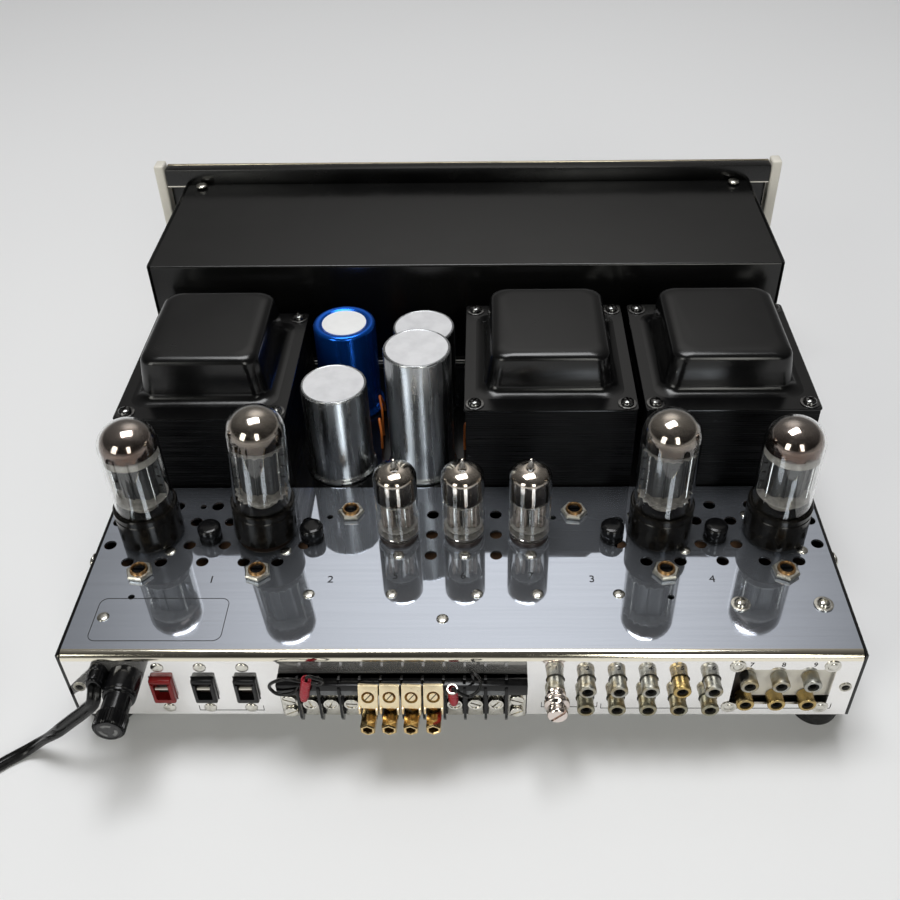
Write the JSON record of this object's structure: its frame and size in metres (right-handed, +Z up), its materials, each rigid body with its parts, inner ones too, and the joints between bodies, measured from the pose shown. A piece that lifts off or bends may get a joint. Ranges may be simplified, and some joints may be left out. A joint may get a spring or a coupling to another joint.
{
  "type": "integrated amplifier",
  "caption": "Valve integrated amplifier: chrome deck with glass valves, transformers and filter cans, black preamplifier cover, champagne front panel with knobs, rear sockets and mains lead.",
  "frame": {"origin": "centre of the bounding box's bottom face, without the mains lead: on the table, midway between the end caps and midway between the knob faces and the fuse cap", "axes": "+Z up, -Y towards the user at the front panel, +Y towards the connectors, +X on the right of someone who faces the front panel"},
  "size_m": [0.5607, 0.4202, 0.1425],
  "materials": {
    "black_steel": "gloss black paint",
    "chrome_plate": "mirror chrome plate",
    "champagne_aluminium": "brushed and anodised",
    "cream_metal": "satin",
    "transformer_black": "satin black paint",
    "laminations": "painted steel laminations",
    "can_aluminium": "polished",
    "blue_sleeve": "shrink sleeve",
    "valve_glass": "clear glass",
    "phenolic": "brown laminate",
    "black_plastic": "moulded",
    "red_plastic": "moulded",
    "gold_plate": "gold plated",
    "nickel_plate": "nickel plated",
    "black_rubber": "matte"
  },
  "bodies": {
    "amplifier": {"chassis_pan": "black_steel", "chrome_deck": "chrome_plate", "bottom_cover": "black_steel", "preamp_cover": "black_steel", "front_panel": "champagne_aluminium", "end_cap_right": "cream_metal", "end_cap_left": "cream_metal", "foot_front_left": "black_rubber", "foot_front_right": "black_rubber", "foot_rear_left": "black_rubber", "foot_rear_right": "black_rubber", "power_transformer_core": "laminations", "power_transformer_bell": "transformer_black", "output_transformer_inner_core": "laminations", "output_transformer_inner_bell": "transformer_black", "output_transformer_outer_core": "laminations", "output_transformer_outer_bell": "transformer_black", "filter_can_short": "can_aluminium", "filter_can_tall": "can_aluminium", "filter_can_front": "can_aluminium", "filter_can_sleeved": "blue_sleeve", "power_tube_1": "valve_glass", "power_tube_2": "valve_glass", "power_tube_3": "valve_glass", "power_tube_4": "valve_glass", "driver_tube_1": "valve_glass", "driver_tube_2": "valve_glass", "driver_tube_3": "valve_glass", "output_board_right": "phenolic", "output_board_left": "phenolic", "driver_board": "phenolic", "ac_outlet_1": "red_plastic", "ac_outlet_2": "black_plastic", "ac_outlet_3": "black_plastic", "fuse_holder": "black_plastic", "terminal_strip": "black_plastic", "speaker_post_1": "gold_plate", "speaker_post_2": "gold_plate", "speaker_post_3": "gold_plate", "speaker_post_4": "gold_plate", "phono_jack_board": "nickel_plate", "phono_jack_board_side": "nickel_plate", "cord_gland": "black_plastic", "cord_coil": "black_rubber", "power_cord": "black_rubber", "power_plug": "black_plastic", "control_board": "phenolic"},
    "selector": {"selector_knob": "champagne_aluminium"},
    "bass": {"bass_knob": "champagne_aluminium"},
    "treble": {"treble_knob": "champagne_aluminium"},
    "balance": {"balance_knob": "champagne_aluminium"},
    "volume": {"volume_knob": "champagne_aluminium"},
    "power_slide": {"power_switch": "black_plastic"},
    "fuse_carrier": {"fuse_cap": "black_plastic"},
    "bias_shaft_1": {"bias_trim_1": "nickel_plate"},
    "bias_shaft_2": {"bias_trim_2": "nickel_plate"},
    "bias_shaft_3": {"bias_trim_3": "nickel_plate"},
    "bias_shaft_4": {"bias_trim_4": "nickel_plate"},
    "balance_shaft_1": {"balance_trim_1": "nickel_plate"},
    "balance_shaft_2": {"balance_trim_2": "nickel_plate"}
  },
  "joints": [
    {"name": "selector_turn", "type": "hinge", "parent": "amplifier", "child": "selector", "pos_m": [-0.145, -0.1753, 0.096], "axis": [0, 1, 0], "range_deg": [-90, 90]},
    {"name": "bass_turn", "type": "hinge", "parent": "amplifier", "child": "bass", "pos_m": [-0.072, -0.1753, 0.096], "axis": [0, 1, 0], "range_deg": [-150, 150]},
    {"name": "treble_turn", "type": "hinge", "parent": "amplifier", "child": "treble", "pos_m": [0, -0.1753, 0.096], "axis": [0, 1, 0], "range_deg": [-150, 150]},
    {"name": "balance_turn", "type": "hinge", "parent": "amplifier", "child": "balance", "pos_m": [0.072, -0.1753, 0.096], "axis": [0, 1, 0], "range_deg": [-150, 150]},
    {"name": "volume_turn", "type": "hinge", "parent": "amplifier", "child": "volume", "pos_m": [0.145, -0.1753, 0.096], "axis": [0, 1, 0], "range_deg": [-150, 150]},
    {"name": "power_switch_slide", "type": "slide", "parent": "amplifier", "child": "power_slide", "axis": [1, 0, 0], "range_m": [0, 0.008]},
    {"name": "fuse_cap_turn", "type": "hinge", "parent": "amplifier", "child": "fuse_carrier", "pos_m": [0.1535, 0.1945, 0.0478], "axis": [0, 1, 0], "range_deg": [-90, 0]},
    {"name": "bias_trim_1_turn", "type": "hinge", "parent": "amplifier", "child": "bias_shaft_1", "pos_m": [0.157, 0.1172, 0.0648], "axis": [0, 0, 1], "range_deg": [-150, 150]},
    {"name": "bias_trim_2_turn", "type": "hinge", "parent": "amplifier", "child": "bias_shaft_2", "pos_m": [0.0992, 0.1172, 0.0648], "axis": [0, 0, 1], "range_deg": [-150, 150]},
    {"name": "bias_trim_3_turn", "type": "hinge", "parent": "amplifier", "child": "bias_shaft_3", "pos_m": [-0.0992, 0.1172, 0.0648], "axis": [0, 0, 1], "range_deg": [-150, 150]},
    {"name": "bias_trim_4_turn", "type": "hinge", "parent": "amplifier", "child": "bias_shaft_4", "pos_m": [-0.157, 0.1172, 0.0648], "axis": [0, 0, 1], "range_deg": [-150, 150]},
    {"name": "balance_trim_1_turn", "type": "hinge", "parent": "amplifier", "child": "balance_shaft_1", "pos_m": [0.0575, 0.0752, 0.0648], "axis": [0, 0, 1], "range_deg": [-150, 150]},
    {"name": "balance_trim_2_turn", "type": "hinge", "parent": "amplifier", "child": "balance_shaft_2", "pos_m": [-0.0575, 0.0752, 0.0648], "axis": [0, 0, 1], "range_deg": [-150, 150]}
  ]
}
